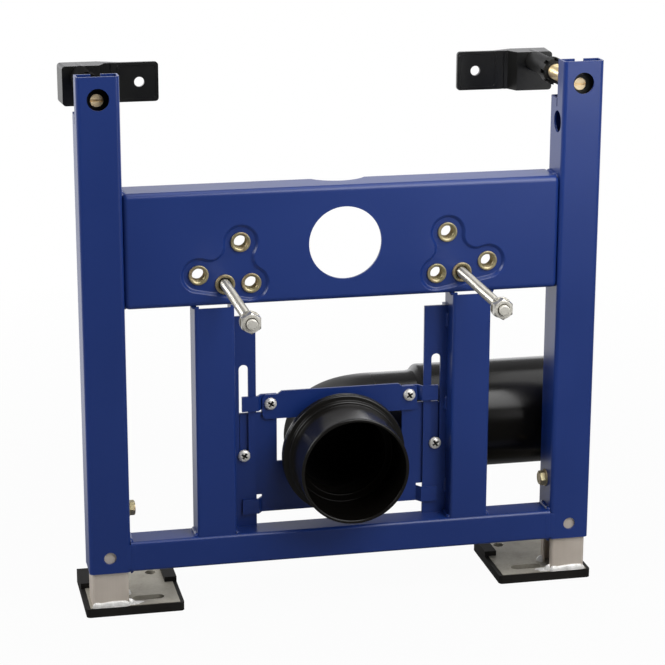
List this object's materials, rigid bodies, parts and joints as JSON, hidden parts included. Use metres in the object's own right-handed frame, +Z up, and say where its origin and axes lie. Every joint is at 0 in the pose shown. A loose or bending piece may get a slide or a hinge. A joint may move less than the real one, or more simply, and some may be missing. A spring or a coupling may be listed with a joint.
{
  "type": "wall hung toilet frame",
  "caption": "Low blue steel frame that carries a wall hung toilet pan: folded crossbar with studs, telescopic feet, wall brackets and a clamped black waste bend.",
  "frame": {"origin": "on the floor, in the middle of the footprint between the stud tips and the wall plane", "axes": "+X to the right seen from the room, +Y towards the wall, +Z up"},
  "size_m": [0.508, 0.32, 0.524],
  "materials": {
    "blue_coat": "satin powder coat",
    "zinc": "plain zinc",
    "yellow_zinc": "yellow passivated zinc",
    "bright_steel": "bright zinc",
    "black_pipe": "black polyethylene",
    "black_moulding": "black moulding"
  },
  "bodies": {
    "frame": {"left_upright": "blue_coat", "right_upright": "blue_coat", "crossbar": "blue_coat", "bottom_rail": "blue_coat", "left_inner_post": "blue_coat", "right_inner_post": "blue_coat", "left_slotted_rail": "blue_coat", "right_slotted_rail": "blue_coat", "left_bushes": "yellow_zinc", "right_bushes": "yellow_zinc", "left_stud": "bright_steel", "right_stud": "bright_steel", "left_clamp_bolt": "yellow_zinc", "right_clamp_bolt": "yellow_zinc", "left_rod": "yellow_zinc", "right_rod": "yellow_zinc", "left_rod_sleeve": "black_moulding", "right_rod_sleeve": "black_moulding"},
    "left_foot": {"left_leg": "zinc", "left_foot_plate": "zinc", "left_foot_pad": "black_moulding"},
    "right_foot": {"right_leg": "zinc", "right_foot_plate": "zinc", "right_foot_pad": "black_moulding"},
    "waste_clamp": {"clamp_plate": "blue_coat", "clamp_strap": "blue_coat", "strap_screws": "bright_steel", "rail_screws": "bright_steel", "pan_socket": "black_pipe", "waste_bend": "black_pipe", "outlet_socket": "black_pipe"},
    "left_bracket": {"left_wall_bracket": "black_moulding", "left_rod_ring": "black_moulding"},
    "right_bracket": {"right_wall_bracket": "black_moulding", "right_rod_ring": "black_moulding"}
  },
  "joints": [
    {"name": "left_foot_slide", "type": "slide", "parent": "frame", "child": "left_foot", "axis": [0, 0, -1], "range_m": [-0.024, 0.2]},
    {"name": "right_foot_slide", "type": "slide", "parent": "frame", "child": "right_foot", "axis": [0, 0, -1], "range_m": [-0.024, 0.2]},
    {"name": "waste_clamp_slide", "type": "slide", "parent": "frame", "child": "waste_clamp", "axis": [0, 0, 1], "range_m": [0, 0.08]},
    {"name": "left_bracket_slide", "type": "slide", "parent": "frame", "child": "left_bracket", "axis": [0, 1, 0], "range_m": [-0.04, 0.02]},
    {"name": "right_bracket_slide", "type": "slide", "parent": "frame", "child": "right_bracket", "axis": [0, 1, 0], "range_m": [-0.04, 0.02]}
  ]
}
